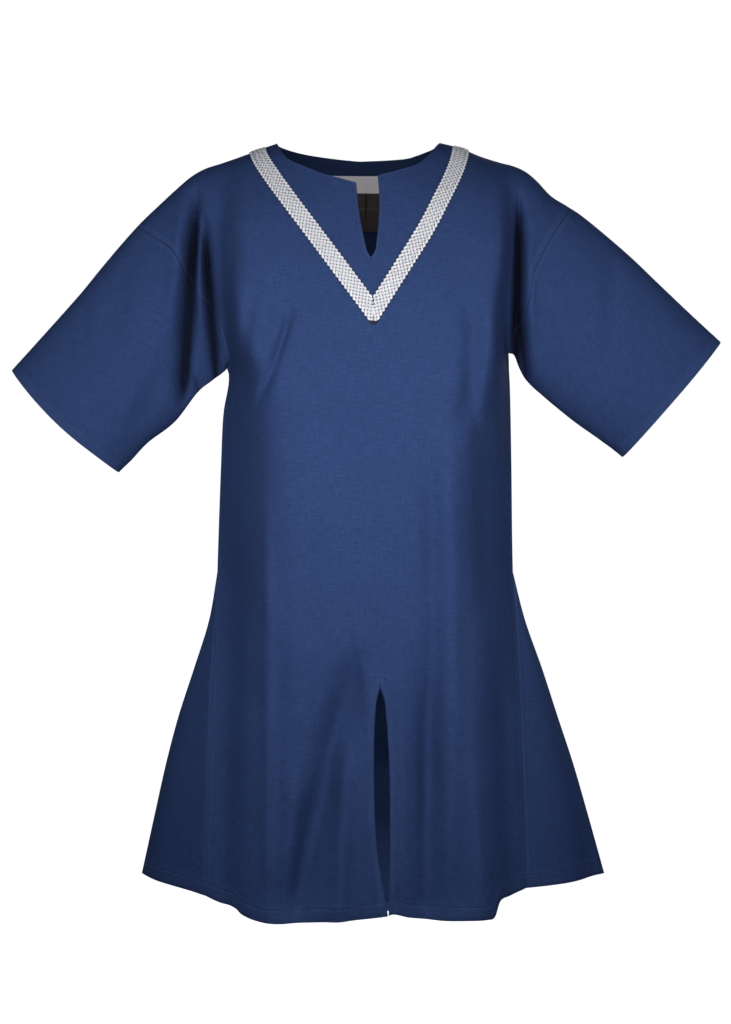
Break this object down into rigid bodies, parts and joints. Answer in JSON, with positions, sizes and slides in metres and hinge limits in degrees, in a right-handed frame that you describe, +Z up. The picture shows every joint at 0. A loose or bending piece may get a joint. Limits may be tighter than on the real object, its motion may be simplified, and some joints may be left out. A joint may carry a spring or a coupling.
{
  "type": "short-sleeved tunic",
  "caption": "Loose pullover tunic of plain dark blue cotton with drop-shoulder sleeves, a slit round neck edged with braid, side gores and a front hem slit.",
  "frame": {"origin": "between the shoulders, at the height of the highest shoulder points, in the plane where the front and the back meet", "axes": "+Z up, the front faces -Y, the wearer's right arm is at -X"},
  "size_m": [0.908, 0.3032, 1.0087],
  "materials": {
    "cotton": "plain woven cotton, dull, dark blue",
    "braid": "plaited flat braid, silver grey, slight sheen",
    "label": "woven ribbon, smooth, light grey and dark brown"
  },
  "bodies": {
    "root": {"front": "cotton", "back": "cotton", "sleeve_left": "cotton", "sleeve_right": "cotton", "gore_left": "cotton", "gore_right": "cotton", "braid_left": "braid", "braid_right": "braid", "label": "label"}
  },
  "joints": []
}
